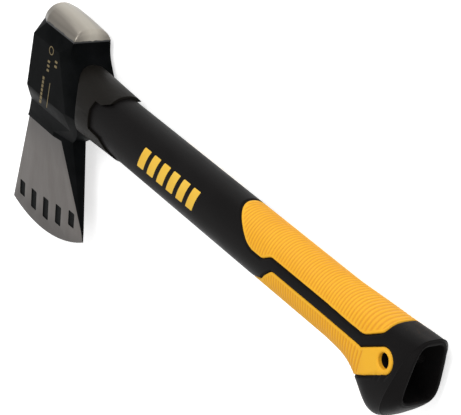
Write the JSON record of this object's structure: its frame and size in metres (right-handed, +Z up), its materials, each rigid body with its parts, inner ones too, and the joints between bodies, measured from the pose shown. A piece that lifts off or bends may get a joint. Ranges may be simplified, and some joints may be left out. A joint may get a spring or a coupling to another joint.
{
  "type": "hatchet",
  "caption": "One-hand hatchet with a blackened forged head, bright poll, and black and yellow composite handle with ribbed grip panels and a lanyard hole in a hollow pommel.",
  "frame": {"origin": "centre of the tool's underside when it lies on its side", "axes": "+X along the handle from the head to the pommel, +Y from the cutting edge to the poll, +Z up through the tool's thickness"},
  "size_m": [0.388, 0.1398, 0.03],
  "materials": {
    "head": "satin black oxide, bright poll and ground edge",
    "bond": "cured adhesive",
    "rod": "glass-fibre rod",
    "sleeve": "carbon-fibre sleeve",
    "plug": "moulded nylon",
    "jacket": "fine satin texture",
    "guard": "moulded soft black",
    "grip": "soft ribbed yellow"
  },
  "bodies": {
    "root": {"axe_head": "head", "eye_bond": "bond", "core_rod": "rod", "core_sleeve": "sleeve", "core_plug": "plug", "handle_jacket": "jacket", "strike_guard": "guard", "grip_back_panel": "grip", "grip_belly_panel": "grip"}
  },
  "joints": []
}
